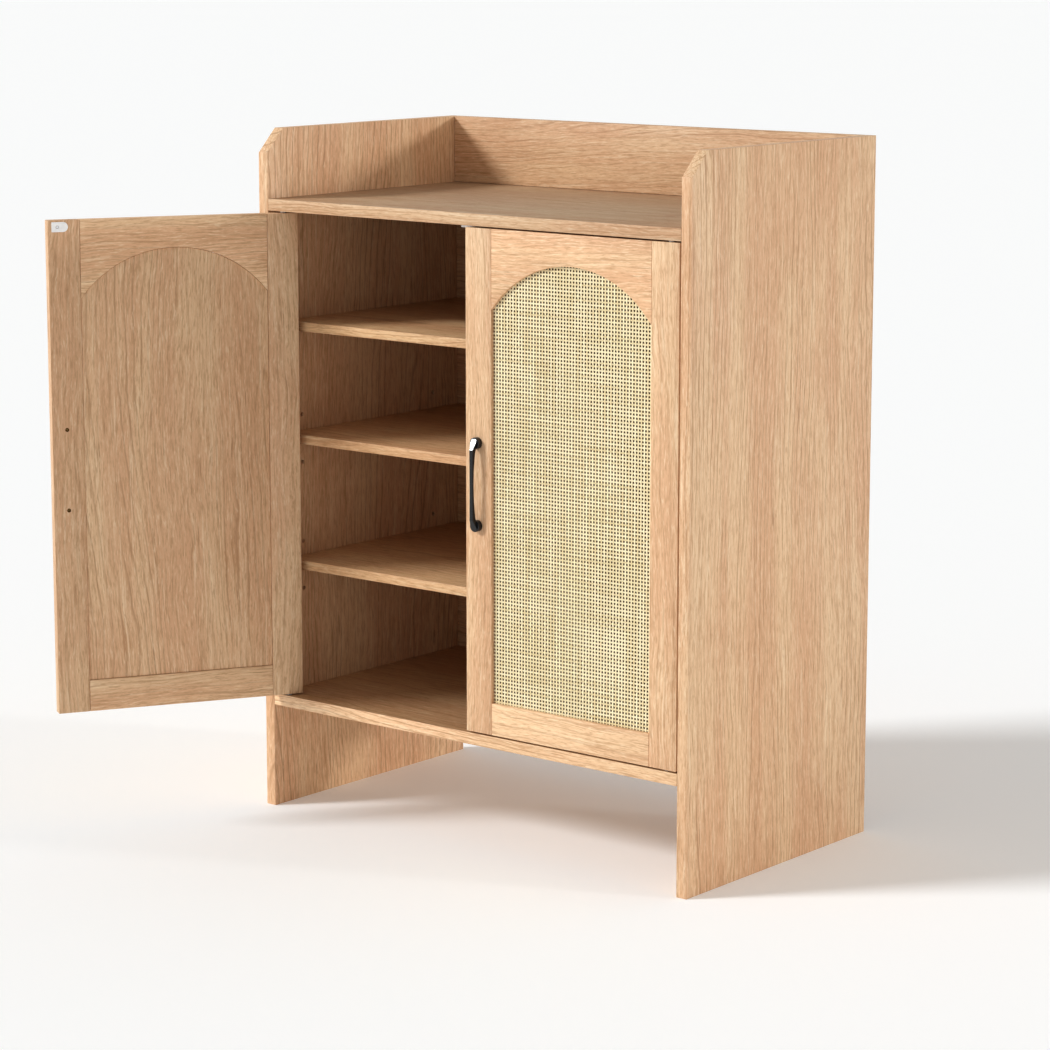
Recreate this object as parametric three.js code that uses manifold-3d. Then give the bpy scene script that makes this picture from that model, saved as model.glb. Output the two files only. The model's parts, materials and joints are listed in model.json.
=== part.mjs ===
// Shoe cabinet: a carcass of boards with four shoe compartments and a tray top, closed by
// two pivot-hung doors. Each door is a frame with an arched opening, a rear panel and a
// sheet of cane webbing. Millimetres, +Z up, doors facing -Y. The left door stands open.
import * as THREE from 'three';
import { mergeVertices } from 'three/addons/utils/BufferGeometryUtils.js';
import Module from 'manifold-3d';

const wasm = await Module();
wasm.setup();

// ---- Driving dimensions ---------------------------------------------------------------

const WIDTH = 680;
const DEPTH = 380;
const HEIGHT = 880;
const BOARD = 15;                 // thickness of the carcass boards and the doors
const FIT = 0.3;                  // clearance between pieces that touch
const OVERCUT = 1;                // how far a cutter runs past the face that it opens

const FLOOR_CLEARANCE = 135;      // floor to the underside of the bottom board
const TRAY_DEPTH = 88;            // rim of the tray above the top board
const CORNER_CUT = 30;            // cut on the top front corner of each side panel

const SHELF = 12;
const SHELF_SETBACK = 28;         // shelf edge behind the fronts, so that a door can swing
const SHELF_TOPS = { upper: 634.7, middle: 489, lower: 324.8 };
const SPARE_HOLES = [509.5, 447, 342.5, 280.5];   // unused shelf-pin levels, for moving two shelves

const BACK_SHEET = 3;
const BACK_INSET = 7;             // back sheet's rear face in front of the carcass's back
const GROOVE_DEPTH = 5;
const SHELF_BACK_GAP = 1;         // behind each shelf, to the back sheet

const DOOR_GAP = 2;               // gap round each door; the two meet with twice this
const STILE = 40;
const BOTTOM_RAIL = 40;
const ARCH_TOP_RAIL = 38;         // wood above the top of the arch
const ARCH_RISE = 60;
const CANE = 0.8;
const CANE_RECESS = 4.4;          // cane behind the door's front
const DOOR_SHEET = 8;
const DOOR_SHEET_RECESS = 1.5;    // rear panel behind the door's back

const PIVOT_FROM_SIDE = 19;       // pivot axis to the side panel's inner face
const REST_ANGLE = { left: 120, right: 0 };

const HANDLE_SPAN = 102;          // between the two screws
const HANDLE_HEIGHT = 462.6;      // middle of the handle above the floor
const HANDLE_FROM_EDGE = 18.8;    // its middle line to the door's free edge
const HANDLE_BAR = 5;             // width of the bar between the feet

// ---- Worked out from them -------------------------------------------------------------

const INNER = WIDTH - 2 * BOARD;
const FRONT = -DEPTH / 2;
const BACK = DEPTH / 2;
const BOTTOM_TOP = FLOOR_CLEARANCE + BOARD;
const TOP_TOP = HEIGHT - TRAY_DEPTH;
const TOP_UNDER = TOP_TOP - BOARD;
const SHEET_BACK = BACK - BACK_INSET;
const SHEET_FRONT = SHEET_BACK - BACK_SHEET;

const DOOR_LOW = BOTTOM_TOP + DOOR_GAP;
const DOOR_HIGH = TOP_UNDER - DOOR_GAP;
const DOOR_WIDTH = INNER / 2 - 2 * DOOR_GAP;
const PIVOT_X = INNER / 2 - PIVOT_FROM_SIDE;
const PIVOT_Y = FRONT + BOARD / 2;
const HEEL = -(PIVOT_FROM_SIDE - DOOR_GAP);   // door edge by the side panel, from the pivot
const TOE = HEEL + DOOR_WIDTH;                // door edge at the middle, from the pivot
const OPENING_NEAR = HEEL + STILE;
const OPENING_FAR = TOE - STILE;
const HANDLE_ALONG = TOE - HANDLE_FROM_EDGE;

const HALF_OPENING = (OPENING_FAR - OPENING_NEAR) / 2;
const ARCH_RADIUS = (HALF_OPENING ** 2 + ARCH_RISE ** 2) / (2 * ARCH_RISE);
const ARCH_X = (OPENING_NEAR + OPENING_FAR) / 2;
const ARCH_Z = DOOR_HIGH - ARCH_TOP_RAIL - ARCH_RADIUS;

// ---- Materials ------------------------------------------------------------------------

const finish = (color, roughness, metalness) => ({ color, roughness, metalness });
const OAK = finish(0xdcb488, 0.6, 0);
const OAK_LIGHT = finish(0xe6c39a, 0.6, 0);
const OAK_SHEET = finish(0xc49d78, 0.65, 0);
const RATTAN = finish(0xe6d6a6, 0.7, 0);
const BLACK_METAL = finish(0x17171a, 0.3, 0.8);
const STEEL = finish(0xb9a98c, 0.35, 1);
const WHITE_PLASTIC = finish(0xf2f1ec, 0.45, 0);
const BEECH = finish(0xd9b98c, 0.7, 0);

// ---- Helpers --------------------------------------------------------------------------

/** A closed geometry as a manifold solid. */
function toSolid(geometry) {
  const bare = geometry.clone();
  bare.deleteAttribute('normal');
  bare.deleteAttribute('uv');
  const merged = mergeVertices(bare, 1e-4);
  return new wasm.Manifold(new wasm.Mesh({
    numProp: 3,
    vertProperties: new Float32Array(merged.attributes.position.array),
    triVerts: new Uint32Array(merged.index.array),
  }));
}

/** A manifold solid as a flat-shaded geometry. */
function toGeometry(solid) {
  const { vertProperties, triVerts } = solid.getMesh();
  const geometry = new THREE.BufferGeometry();
  geometry.setAttribute('position', new THREE.BufferAttribute(new Float32Array(vertProperties), 3));
  geometry.setIndex(new THREE.BufferAttribute(new Uint32Array(triVerts), 1));
  geometry.computeVertexNormals();
  return geometry;
}

/** The geometry with every cutter taken out of it. */
function cut(geometry, cutters) {
  return toGeometry(cutters.reduce((solid, cutter) => solid.subtract(toSolid(cutter)), toSolid(geometry)));
}

/** Several overlapping geometries as one. */
function join(geometries) {
  const [first, ...others] = geometries.map(toSolid);
  return toGeometry(others.reduce((solid, other) => solid.add(other), first));
}

/** Two values, the smaller one first. */
function ordered(a, b) {
  return [Math.min(a, b), Math.max(a, b)];
}

/** A box between two corners. */
function block(low, high) {
  const size = high.map((value, axis) => value - low[axis]);
  const middle = high.map((value, axis) => (value + low[axis]) / 2);
  return new THREE.BoxGeometry(...size).translate(...middle);
}

const TURNS = {
  x: (geometry) => geometry.rotateZ(-Math.PI / 2),
  y: (geometry) => geometry,
  z: (geometry) => geometry.rotateX(Math.PI / 2),
};

/** A round bar along one axis from a start point; a negative length runs backwards. */
function rod(axis, start, length, diameter, segments = 12) {
  const bar = new THREE.CylinderGeometry(diameter / 2, diameter / 2, Math.abs(length), segments);
  const middle = { ...start };
  middle[axis] += length / 2;
  return TURNS[axis](bar).translate(middle.x, middle.y, middle.z);
}

/** A turned piece along +Y from a profile of [radius, height] points that ends on its axis. */
function turned(profile, segments = 12) {
  return new THREE.LatheGeometry(profile.map(([r, h]) => new THREE.Vector2(r, h)), segments);
}

/** A flat piece: an outline in the XZ plane between two depths along Y. */
function slab(shape, front, back, curveSegments = 32) {
  const options = { depth: back - front, bevelEnabled: false, curveSegments };
  return new THREE.ExtrudeGeometry(shape, options).rotateX(Math.PI / 2).translate(0, back, 0);
}

/** A named mesh in a group; look is one of the finishes above. */
function place(group, name, geometry, look, position = [0, 0, 0]) {
  const mesh = new THREE.Mesh(geometry, new THREE.MeshStandardMaterial({ name, ...look }));
  mesh.name = name;
  mesh.position.set(...position);
  group.add(mesh);
  return mesh;
}

// ---- Fasteners and the holes that take them -------------------------------------------

const DOWEL = { diameter: 8, length: 30, inPanel: 10, fromEnds: 45 };
const SHELF_PIN = { diameter: 5, inPanel: 9.5, out: 8, fromEdge: 31, fromBack: 52 };
const PIN_HOLE_DEPTH = 10;
const PIVOT = { pin: 4, inDoor: 11, inBoard: 8, collar: 7.2, bush: 9, bushLength: 9 };
const HANDLE_SCREW = { shank: 3, head: 4.6, headHeight: 2, sunk: 0.8, inHandle: 5 };
const HANDLE_FOOT = { diameter: 14.4, height: 6.6, eased: 0.8 };
// Side view of the bow's upper half, up its inside and down its outside, as distances from
// the door and from the handle's middle.
const BOW_HALF = [
  [10.2, 0], [9.7, 16], [8.3, 31], [6.8, 41], [4, 48],
  [4, 58], [6.8, 58], [12.2, 43], [12.7, 18], [12.8, 0],
];
const STRIKE = { length: 20.5, height: 12.4, thickness: 1.5, fromTop: 2, fromToe: 4.7, screwFrom: 7 };
const STRIKE_SCREW = { shank: 2, head: 3.4, length: 9 };
const CATCH = {
  width: 38, depth: 14, base: 4.5, core: 24, coreHeight: 14, setback: 17.3,
  peg: 5, pegHeight: 9, pegFromEnd: 5,
};

const SIDES = { left: -1, right: 1 };
const ROWS = ['front', 'back'];

/** Depths of the two dowels in each board end. */
const dowelDepths = { front: FRONT + DOWEL.fromEnds, back: BACK - DOWEL.fromEnds };
const BOARD_LEVELS = { top: TOP_UNDER + BOARD / 2, bottom: FLOOR_CLEARANCE + BOARD / 2 };

/** Depths of the two shelf pins on each side panel. */
const pinDepths = {
  front: FRONT + SHELF_SETBACK + SHELF_PIN.fromEdge,
  back: SHEET_FRONT - SHELF_PIN.fromBack,
};
const pinLevel = (shelf) => SHELF_TOPS[shelf] - SHELF - FIT - SHELF_PIN.diameter / 2;

// ---- Carcass --------------------------------------------------------------------------

const cabinet = new THREE.Group();

/** A side panel, with its dowel holes, shelf-pin holes and the groove for the back sheet. */
function sidePanel(side) {
  const sign = SIDES[side];
  const outline = new THREE.Shape();
  outline.moveTo(FRONT, 0);
  outline.lineTo(BACK, 0);
  outline.lineTo(BACK, HEIGHT);
  outline.lineTo(FRONT + CORNER_CUT, HEIGHT);
  outline.lineTo(FRONT, HEIGHT - CORNER_CUT);
  outline.closePath();
  const panel = new THREE.ExtrudeGeometry(outline, { depth: BOARD, bevelEnabled: false });
  panel.rotateX(Math.PI / 2).rotateZ(Math.PI / 2).translate(-BOARD / 2, 0, 0);

  const inner = -sign * BOARD / 2;              // inner face, from the panel's middle
  const bore = (y, z, depth, diameter) => (
    rod('x', { x: inner - sign * OVERCUT, y, z }, sign * (depth + OVERCUT), diameter)
  );
  const dowelHoles = Object.values(BOARD_LEVELS).flatMap((z) => (
    Object.values(dowelDepths).map((y) => bore(y, z, DOWEL.inPanel + FIT, DOWEL.diameter + 2 * FIT))
  ));
  const pinHoles = [...Object.keys(SHELF_TOPS).map(pinLevel), ...SPARE_HOLES].flatMap((z) => (
    Object.values(pinDepths).map((y) => bore(y, z, PIN_HOLE_DEPTH, SHELF_PIN.diameter + 2 * FIT))
  ));
  const grooveX = ordered(inner - sign * OVERCUT, inner + sign * GROOVE_DEPTH);
  const groove = block(
    [grooveX[0], SHEET_FRONT - FIT, BOTTOM_TOP - GROOVE_DEPTH],
    [grooveX[1], SHEET_BACK + FIT, TOP_UNDER + GROOVE_DEPTH],
  );
  place(
    cabinet, `side_panel_${side}`, cut(panel, [...dowelHoles, ...pinHoles, groove]), OAK,
    [sign * (WIDTH - BOARD) / 2, 0, 0],
  );
}

/** Holes for the dowels in the two ends of a board. */
function boardDowelHoles(level) {
  const depth = DOWEL.length - DOWEL.inPanel + FIT;
  return Object.values(SIDES).flatMap((sign) => Object.values(dowelDepths).map((y) => (
    rod(
      'x', { x: sign * (INNER / 2 + OVERCUT), y, z: level },
      -sign * (depth + OVERCUT), DOWEL.diameter + 2 * FIT,
    )
  )));
}

/** The top or bottom board: dowel holes, pivot-bush holes and a groove on its inner face. */
function wideBoard(name, low, inward, extraCutters) {
  const face = inward > 0 ? low + BOARD : low;
  const bushHoles = Object.values(SIDES).map((sign) => (
    rod(
      'z', { x: sign * PIVOT_X, y: PIVOT_Y, z: face + inward * OVERCUT },
      -inward * (PIVOT.bushLength + 2 * OVERCUT), PIVOT.bush + 2 * FIT,
    )
  ));
  const grooveZ = ordered(face + inward * OVERCUT, face - inward * GROOVE_DEPTH);
  const groove = block(
    [-INNER / 2 - OVERCUT, SHEET_FRONT - FIT, grooveZ[0]],
    [INNER / 2 + OVERCUT, SHEET_BACK + FIT, grooveZ[1]],
  );
  const board = block([-INNER / 2 + FIT, FRONT, low], [INNER / 2 - FIT, BACK, low + BOARD]);
  const cutters = [...boardDowelHoles(low + BOARD / 2), ...bushHoles, groove, ...extraCutters];
  place(cabinet, name, cut(board, cutters), OAK_LIGHT);
}

const catchFront = FRONT + CATCH.setback;
const catchY = catchFront + CATCH.depth / 2;
const catchPegs = Object.values(SIDES).map((sign) => (
  { x: sign * (CATCH.width / 2 - CATCH.pegFromEnd), y: catchY, z: TOP_UNDER - OVERCUT }
));

Object.keys(SIDES).forEach(sidePanel);
wideBoard('bottom_board', FLOOR_CLEARANCE, 1, []);
wideBoard('top_board', TOP_UNDER, -1, catchPegs.map((peg) => (
  rod('z', peg, CATCH.pegHeight + OVERCUT + FIT, CATCH.peg + 2 * FIT)
)));
place(cabinet, 'back_rail', block(
  [-INNER / 2 + FIT, BACK - BOARD, TOP_TOP + FIT],
  [INNER / 2 - FIT, BACK, HEIGHT],
), OAK);
place(cabinet, 'back_panel', block(
  [-INNER / 2 - GROOVE_DEPTH + FIT, SHEET_FRONT, BOTTOM_TOP - GROOVE_DEPTH + FIT],
  [INNER / 2 + GROOVE_DEPTH - FIT, SHEET_BACK, TOP_UNDER + GROOVE_DEPTH - FIT],
), OAK_SHEET);

for (const [shelf, top] of Object.entries(SHELF_TOPS)) {
  place(cabinet, `shelf_${shelf}`, block(
    [-INNER / 2 + FIT, FRONT + SHELF_SETBACK, top - SHELF],
    [INNER / 2 - FIT, SHEET_FRONT - SHELF_BACK_GAP, top],
  ), OAK_LIGHT);
}

// Dowels run along X, half in a side panel and half in a board.
const EASED = 0.8;
const dowelShape = turned([
  [0, 0],
  [DOWEL.diameter / 2 - EASED, 0],
  [DOWEL.diameter / 2, EASED],
  [DOWEL.diameter / 2, DOWEL.length - EASED],
  [DOWEL.diameter / 2 - EASED, DOWEL.length],
  [0, DOWEL.length],
]).rotateZ(-Math.PI / 2).translate(-DOWEL.length / 2, 0, 0);
const pinLength = SHELF_PIN.inPanel + SHELF_PIN.out;
const pinShape = turned([
  [0, 0],
  [SHELF_PIN.diameter / 2 - EASED, 0],
  [SHELF_PIN.diameter / 2, EASED],
  [SHELF_PIN.diameter / 2, pinLength - EASED],
  [SHELF_PIN.diameter / 2 - EASED, pinLength],
  [0, pinLength],
]).rotateZ(-Math.PI / 2).translate(-pinLength / 2, 0, 0);

for (const [side, sign] of Object.entries(SIDES)) {
  for (const row of ROWS) {
    for (const [level, z] of Object.entries(BOARD_LEVELS)) {
      const x = sign * (INNER / 2 + DOWEL.inPanel - DOWEL.length / 2);
      place(cabinet, `dowel_${level}_${side}_${row}`, dowelShape, BEECH, [x, dowelDepths[row], z]);
    }
    for (const shelf of Object.keys(SHELF_TOPS)) {
      const x = sign * (INNER / 2 + SHELF_PIN.inPanel - pinLength / 2);
      const position = [x, pinDepths[row], pinLevel(shelf)];
      place(cabinet, `shelf_pin_${shelf}_${side}_${row}`, pinShape, STEEL, position);
    }
  }
}

// Bushes that the doors' pivot pins turn in.
const bushShape = cut(
  rod('z', { x: 0, y: 0, z: -PIVOT.bushLength / 2 }, PIVOT.bushLength, PIVOT.bush),
  [rod('z', { x: 0, y: 0, z: -PIVOT.bushLength }, 2 * PIVOT.bushLength, PIVOT.pin + 2 * FIT)],
);
const BUSH_LEVELS = { top: TOP_UNDER + PIVOT.bushLength / 2, bottom: BOTTOM_TOP - PIVOT.bushLength / 2 };
for (const [side, sign] of Object.entries(SIDES)) {
  for (const [level, z] of Object.entries(BUSH_LEVELS)) {
    place(cabinet, `pivot_bush_${level}_${side}`, bushShape, WHITE_PLASTIC, [sign * PIVOT_X, PIVOT_Y, z]);
  }
}

// Catch for both doors, pressed into the top board by its two pegs.
place(cabinet, 'door_catch', join([
  block(
    [-CATCH.width / 2, catchFront, TOP_UNDER - CATCH.base],
    [CATCH.width / 2, catchFront + CATCH.depth, TOP_UNDER - FIT],
  ),
  block(
    [-CATCH.core / 2, catchFront, TOP_UNDER - CATCH.coreHeight],
    [CATCH.core / 2, catchFront + CATCH.depth, TOP_UNDER - CATCH.base + OVERCUT],
  ),
  ...catchPegs.map((peg) => rod('z', peg, CATCH.pegHeight + OVERCUT, CATCH.peg)),
]), WHITE_PLASTIC);

// ---- Doors ----------------------------------------------------------------------------
// A door's group has its origin on the pivot axis at floor level. Along runs from the pivot
// towards the free edge, and is +X for the left door and -X for the right one.

const DOOR_FRONT = -BOARD / 2;
const DOOR_BACK = BOARD / 2;

/** A block given by distances along the door, mirrored to the door's own side. */
function doorBlock(dir, along, depth, height) {
  const [low, high] = ordered(dir * along[0], dir * along[1]);
  return block([low, depth[0], height[0]], [high, depth[1], height[1]]);
}

/** The outline inside the frame, smaller all round by the clearance. */
function arched(dir, margin) {
  const half = HALF_OPENING - margin;
  const radius = ARCH_RADIUS - margin;
  const middle = dir * ARCH_X;
  const spring = Math.acos(half / radius);
  const shape = new THREE.Shape();
  shape.moveTo(middle - half, DOOR_LOW + BOTTOM_RAIL + margin);
  shape.lineTo(middle + half, DOOR_LOW + BOTTOM_RAIL + margin);
  shape.absarc(middle, ARCH_Z, radius, spring, Math.PI - spring, false);
  shape.closePath();
  return shape;
}

/** The top rail, whose underside is the arch. */
function archedRail(dir) {
  const half = HALF_OPENING - FIT;
  const middle = dir * ARCH_X;
  const spring = Math.acos(half / ARCH_RADIUS);
  const shape = new THREE.Shape();
  shape.moveTo(middle + half, DOOR_HIGH);
  shape.lineTo(middle - half, DOOR_HIGH);
  shape.absarc(middle, ARCH_Z, ARCH_RADIUS, Math.PI - spring, spring, true);
  shape.closePath();
  return shape;
}

/** A bow handle: two round feet, and a bar whose outside is cut back slantwise over each. */
function handleShape() {
  const { diameter, height, eased } = HANDLE_FOOT;
  const foot = (z) => turned([
    [0, 0],
    [diameter / 2, 0],
    [diameter / 2, height - eased],
    [diameter / 2 - eased, height],
    [0, height],
  ], 24).rotateX(Math.PI).translate(0, 0, z);
  const lower = BOW_HALF.slice(1, -1).toReversed().map(([out, z]) => [out, -z]);
  const shape = new THREE.Shape([...BOW_HALF, ...lower].map(([out, z]) => new THREE.Vector2(out, z)));
  const bow = new THREE.ExtrudeGeometry(shape, { depth: HANDLE_BAR, bevelEnabled: false });
  bow.applyMatrix4(new THREE.Matrix4().makeBasis(
    new THREE.Vector3(0, -1, 0), new THREE.Vector3(0, 0, 1), new THREE.Vector3(-1, 0, 0),
  ));
  bow.translate(HANDLE_BAR / 2, 0, 0);
  const end = HANDLE_SPAN / 2;
  const tapped = (z) => rod(
    'y', { x: 0, y: OVERCUT, z }, -(HANDLE_SCREW.inHandle + OVERCUT + FIT), HANDLE_SCREW.shank + 2 * FIT,
  );
  return cut(join([foot(end), foot(-end), bow]), [tapped(end), tapped(-end)]);
}

/** A machine screw along -Y with a small sunk head, the head's underside at the origin. */
const screwSeat = DOOR_BACK - HANDLE_SCREW.sunk - HANDLE_SCREW.headHeight;
const screwReach = screwSeat - DOOR_FRONT + HANDLE_SCREW.inHandle;
const handleScrewShape = turned([
  [0, -HANDLE_SCREW.headHeight],
  [HANDLE_SCREW.head / 2 - EASED, -HANDLE_SCREW.headHeight],
  [HANDLE_SCREW.head / 2, EASED - HANDLE_SCREW.headHeight],
  [HANDLE_SCREW.head / 2, 0],
  [HANDLE_SCREW.shank / 2, 0],
  [HANDLE_SCREW.shank / 2, screwReach],
  [0, screwReach],
]).rotateX(Math.PI);

/** A countersunk screw along -Y, the top of its head at the origin. */
const strikeScrewShape = turned([
  [0, 0],
  [STRIKE_SCREW.head / 2, 0],
  [STRIKE_SCREW.shank / 2, (STRIKE_SCREW.head - STRIKE_SCREW.shank) / 2],
  [STRIKE_SCREW.shank / 2, STRIKE_SCREW.length],
  [0, STRIKE_SCREW.length],
]).rotateX(Math.PI);

/** A pivot pin along +Z: shaft in the door, collar in the gap, shaft in the bush. */
const pivotPinShape = turned([
  [0, -PIVOT.inDoor],
  [PIVOT.pin / 2, -PIVOT.inDoor],
  [PIVOT.pin / 2, FIT],
  [PIVOT.collar / 2, FIT],
  [PIVOT.collar / 2, DOOR_GAP - FIT],
  [PIVOT.pin / 2, DOOR_GAP - FIT],
  [PIVOT.pin / 2, DOOR_GAP + PIVOT.inBoard],
  [0, DOOR_GAP + PIVOT.inBoard],
]).rotateX(Math.PI / 2);

/** The strike plate: straight at the free edge, round at the other end. */
function strikeShape(dir, screwAlong, level) {
  const near = TOE - STRIKE.fromToe;
  const radius = STRIKE.height / 2;
  const roundMiddle = dir * (near - STRIKE.length + radius);
  const shape = new THREE.Shape();
  shape.moveTo(dir * near, level - radius);
  shape.lineTo(dir * near, level + radius);
  shape.lineTo(roundMiddle, level + radius);
  shape.absarc(roundMiddle, level, radius, Math.PI / 2, -Math.PI / 2, dir < 0);
  shape.closePath();
  const plate = slab(shape, DOOR_BACK + FIT, DOOR_BACK + FIT + STRIKE.thickness, 12);
  const hole = rod(
    'y', { x: dir * screwAlong, y: DOOR_BACK, z: level },
    STRIKE.thickness + FIT + OVERCUT, STRIKE_SCREW.head + 2 * FIT,
  );
  return cut(plate, [hole]);
}

function door(side) {
  const dir = -SIDES[side];
  const name = (piece) => `door_${side}_${piece}`;
  const group = new THREE.Group();
  group.position.set(SIDES[side] * PIVOT_X, PIVOT_Y, 0);
  group.rotation.z = -dir * THREE.MathUtils.degToRad(REST_ANGLE[side]);
  cabinet.add(group);
  const full = [DOOR_FRONT, DOOR_BACK];
  const screwLevels = {
    upper: HANDLE_HEIGHT + HANDLE_SPAN / 2,
    lower: HANDLE_HEIGHT - HANDLE_SPAN / 2,
  };
  const handleX = dir * HANDLE_ALONG;
  const strikeLevel = DOOR_HIGH - STRIKE.fromTop - STRIKE.height / 2;
  const strikeScrewAlong = TOE - STRIKE.fromToe - STRIKE.screwFrom;

  const pivotHole = (z, inward) => rod(
    'z', { x: 0, y: 0, z: z - inward * OVERCUT },
    inward * (PIVOT.inDoor + OVERCUT + FIT), PIVOT.pin + 2 * FIT,
  );
  const hingeStile = doorBlock(dir, [HEEL, OPENING_NEAR], full, [DOOR_LOW, DOOR_HIGH]);
  const pivotHoles = [pivotHole(DOOR_LOW, 1), pivotHole(DOOR_HIGH, -1)];
  place(group, name('hinge_stile'), cut(hingeStile, pivotHoles), OAK_LIGHT);

  const lockStile = doorBlock(dir, [OPENING_FAR, TOE], full, [DOOR_LOW, DOOR_HIGH]);
  const screwHoles = Object.values(screwLevels).flatMap((z) => [
    rod('y', { x: handleX, y: -BOARD, z }, 2 * BOARD, HANDLE_SCREW.shank + 2 * FIT),
    rod('y', { x: handleX, y: screwSeat - FIT, z }, BOARD, HANDLE_SCREW.head + 2 * FIT),
  ]);
  const strikeHole = rod(
    'y', { x: dir * strikeScrewAlong, y: DOOR_BACK + OVERCUT, z: strikeLevel },
    -STRIKE_SCREW.length, STRIKE_SCREW.shank + 2 * FIT,
  );
  place(group, name('lock_stile'), cut(lockStile, [...screwHoles, strikeHole]), OAK_LIGHT);

  const railSpan = [OPENING_NEAR + FIT, OPENING_FAR - FIT];
  const bottomRail = doorBlock(dir, railSpan, full, [DOOR_LOW, DOOR_LOW + BOTTOM_RAIL]);
  place(group, name('bottom_rail'), bottomRail, OAK_LIGHT);
  place(group, name('top_rail'), slab(archedRail(dir), ...full), OAK_LIGHT);

  const sheetBack = DOOR_BACK - DOOR_SHEET_RECESS;
  place(group, name('rear_panel'), slab(arched(dir, FIT), sheetBack - DOOR_SHEET, sheetBack), OAK_SHEET);
  const caneFront = DOOR_FRONT + CANE_RECESS;
  place(group, name('cane_webbing'), slab(arched(dir, FIT), caneFront, caneFront + CANE), RATTAN);

  place(group, name('handle'), handleShape(), BLACK_METAL, [handleX, DOOR_FRONT - FIT, HANDLE_HEIGHT]);
  for (const [row, z] of Object.entries(screwLevels)) {
    place(group, name(`handle_screw_${row}`), handleScrewShape, STEEL, [handleX, screwSeat, z]);
  }
  place(group, name('strike_plate'), strikeShape(dir, strikeScrewAlong, strikeLevel), WHITE_PLASTIC);
  place(
    group, name('strike_screw'), strikeScrewShape, STEEL,
    [dir * strikeScrewAlong, DOOR_BACK + STRIKE.thickness, strikeLevel],
  );
  place(group, name('pivot_pin_top'), pivotPinShape, WHITE_PLASTIC, [0, 0, DOOR_HIGH]);
  const bottomPin = place(group, name('pivot_pin_bottom'), pivotPinShape, WHITE_PLASTIC, [0, 0, DOOR_LOW]);
  bottomPin.rotation.x = Math.PI;
}

Object.keys(SIDES).forEach(door);

// The origin is on the floor, under the middle of the space that the object takes as it
// stands, with the left door open.
cabinet.updateMatrixWorld(true);
const middle = new THREE.Box3().setFromObject(cabinet, true).getCenter(new THREE.Vector3());
cabinet.position.set(-middle.x, -middle.y, 0);

export default cabinet;
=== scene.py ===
# %% [markdown]
# # A shoe cabinet with cane doors
# This lesson dresses the frame of a shoe cabinet: oak-look boards, two pivot-hung doors
# with arched cane panels, black bow handles and small white fittings. The frame holds
# every board and fitting in its right place, so each step here only reads those places,
# makes a finer piece where the plain solid isn't good enough, and gives it a finish.

# %% Load the frame
import json
import math

import bmesh
import bpy
from mathutils import Matrix, Vector


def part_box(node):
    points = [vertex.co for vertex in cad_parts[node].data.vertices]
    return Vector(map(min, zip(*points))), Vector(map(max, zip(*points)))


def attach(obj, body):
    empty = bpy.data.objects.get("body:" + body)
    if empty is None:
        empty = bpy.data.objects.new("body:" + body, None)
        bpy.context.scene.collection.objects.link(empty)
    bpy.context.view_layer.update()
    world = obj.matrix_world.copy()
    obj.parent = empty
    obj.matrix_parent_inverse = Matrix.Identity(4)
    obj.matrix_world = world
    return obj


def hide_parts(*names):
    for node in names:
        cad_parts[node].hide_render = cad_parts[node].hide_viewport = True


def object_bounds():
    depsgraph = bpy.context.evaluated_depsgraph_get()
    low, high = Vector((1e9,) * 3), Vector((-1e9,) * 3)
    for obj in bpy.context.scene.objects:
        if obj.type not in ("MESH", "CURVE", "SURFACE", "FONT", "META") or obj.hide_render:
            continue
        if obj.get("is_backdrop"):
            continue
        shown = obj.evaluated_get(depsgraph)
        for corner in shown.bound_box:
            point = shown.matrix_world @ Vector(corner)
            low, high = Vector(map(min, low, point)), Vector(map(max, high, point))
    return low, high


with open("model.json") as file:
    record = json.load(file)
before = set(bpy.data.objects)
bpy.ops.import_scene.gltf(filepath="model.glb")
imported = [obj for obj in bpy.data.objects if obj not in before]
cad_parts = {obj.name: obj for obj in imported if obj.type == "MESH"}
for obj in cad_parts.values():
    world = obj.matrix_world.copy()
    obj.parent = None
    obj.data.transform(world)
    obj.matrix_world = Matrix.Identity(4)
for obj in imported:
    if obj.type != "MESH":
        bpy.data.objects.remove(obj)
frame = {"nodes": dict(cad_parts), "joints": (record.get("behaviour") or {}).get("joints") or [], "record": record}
frame_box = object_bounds()

# %% [markdown]
# ## Where things are
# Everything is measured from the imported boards. The carcass is centred between the side
# panels. A door turns about an upright axis, and its hinge joint says how far the door
# stands from shut: the left one is shut at the top of its range, the right one at 0.

# %% Places and sizes read from the frame
left_low, left_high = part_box("side_panel_left")
right_low, right_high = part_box("side_panel_right")
middle_x = (left_low.x + right_high.x) / 2
middle_y = (left_low.y + left_high.y) / 2
cabinet_height = left_high.z
stile_low, stile_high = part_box("door_right_lock_stile")
board = stile_high.y - stile_low.y
joints = {joint["name"]: joint for joint in frame["joints"]}
SIDES = ("left", "right")
pivots = {side: Vector(joints[f"door_{side}_hinge"]["pos_m"]) for side in SIDES}
open_angle = {
    "left": math.radians(joints["door_left_hinge"]["range_deg"][1]),
    "right": -math.radians(joints["door_right_hinge"]["range_deg"][0]),
}
towards_toe = {"left": 1, "right": -1}
door_turn = {side: -towards_toe[side] * open_angle[side] for side in SIDES}
print("cabinet middle:", round(middle_x, 4), round(middle_y, 4), "board:", round(board, 4))
print("door turns:", {side: round(math.degrees(door_turn[side])) for side in SIDES})

# %% [markdown]
# ## Small helpers for working by hand
# Operators act on whatever is selected, and the frame's own nodes start out selected, so
# every step first selects only its own piece. Faces and edges are picked in code, by
# where they lie.

# %% Select, edit and finish helpers
def select_only(*objects):
    bpy.ops.object.select_all(action="DESELECT")
    for item in objects:
        item.select_set(True)
    bpy.context.view_layer.objects.active = objects[0]


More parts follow.
